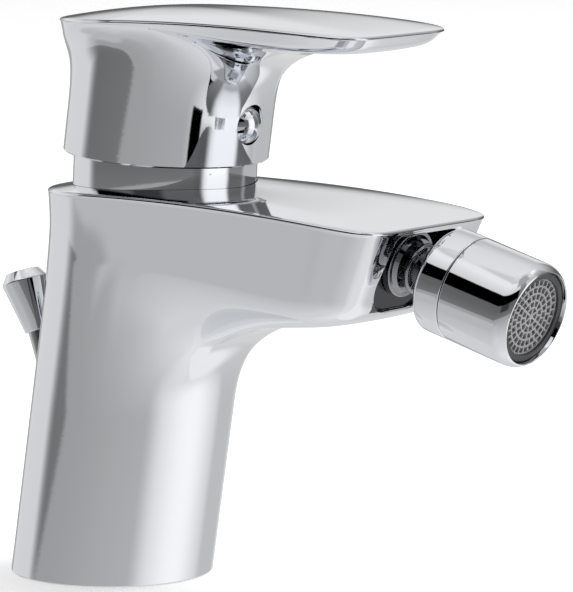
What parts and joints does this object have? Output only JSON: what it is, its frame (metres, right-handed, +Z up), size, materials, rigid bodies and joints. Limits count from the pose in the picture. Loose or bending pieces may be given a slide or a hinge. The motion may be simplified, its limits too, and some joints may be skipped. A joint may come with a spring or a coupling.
{
  "type": "bidet mixer",
  "caption": "Single-lever bidet mixer: leaning round column, leaf-shaped deck and lever, ball-jointed aerator, pull rod for the pop-up waste.",
  "frame": {"origin": "centre of the round foot, on the face that rests on the bidet's rim", "axes": "+X towards the spout's front, +Z up, +Y to the left of a user facing the column from the spout's tip backwards"},
  "size_m": [0.1569, 0.0528, 0.135],
  "materials": {
    "chrome": "polished plating",
    "brass": "machined",
    "steel": "drawn",
    "white_plastic": "moulded",
    "grey_plastic": "moulded",
    "red_plastic": "moulded",
    "ceramic": "lapped ceramic",
    "rubber": "matt"
  },
  "bodies": {
    "body": {"mixer_body": "chrome", "foot_seal": "rubber", "collar_ring": "chrome", "cartridge_nut": "brass", "cartridge_housing": "white_plastic", "cartridge_base": "grey_plastic", "cartridge_seals": "rubber", "fixed_disc": "ceramic", "ball_stud": "chrome", "stud_seal": "rubber", "rod_guide": "white_plastic"},
    "rotor": {"cartridge_rotor": "white_plastic", "pivot_pin": "steel", "stop_ring": "red_plastic"},
    "discs": {"disc_carrier": "grey_plastic", "moving_disc": "ceramic"},
    "handle": {"lever": "chrome", "lever_spindle": "brass", "spindle_sleeve": "grey_plastic", "set_screw": "steel", "screw_cover": "chrome"},
    "seat": {"ball_liner": "white_plastic"},
    "nozzle": {"swivel_collar": "chrome", "aerator_housing": "chrome", "aerator_washer": "rubber", "aerator_insert": "grey_plastic", "aerator_grid": "grey_plastic"},
    "rod": {"pull_rod": "steel", "rod_knob": "chrome"}
  },
  "joints": [
    {"name": "lever_turn", "type": "hinge", "parent": "body", "child": "rotor", "pos_m": [0.01653, 0, 0.0925], "axis": [0.0628, 0, 0.998], "range_deg": [-45, 45]},
    {"name": "lever_lift", "type": "hinge", "parent": "rotor", "child": "handle", "pos_m": [0.01603, 0, 0.08452], "axis": [0, -1, 0], "range_deg": [0, 18]},
    {"name": "disc_slide", "type": "slide", "parent": "rotor", "child": "discs", "axis": [0.998, 0, -0.0628], "range_m": [0, 0.0029]},
    {"name": "nozzle_pitch", "type": "hinge", "parent": "body", "child": "seat", "pos_m": [0.10223, 0, 0.0758], "axis": [0, 1, 0], "range_deg": [-15, 15]},
    {"name": "nozzle_yaw", "type": "hinge", "parent": "seat", "child": "nozzle", "pos_m": [0.10223, 0, 0.0758], "axis": [0.2672, 0, 0.9636], "range_deg": [-15, 15]},
    {"name": "rod_pull", "type": "slide", "parent": "body", "child": "rod", "axis": [-0.3355, 0, 0.9421], "range_m": [0, 0.025]}
  ],
  "couplings": [
    {"joint": "disc_slide", "follows": "lever_lift", "m_per_rad": 0.009}
  ]
}
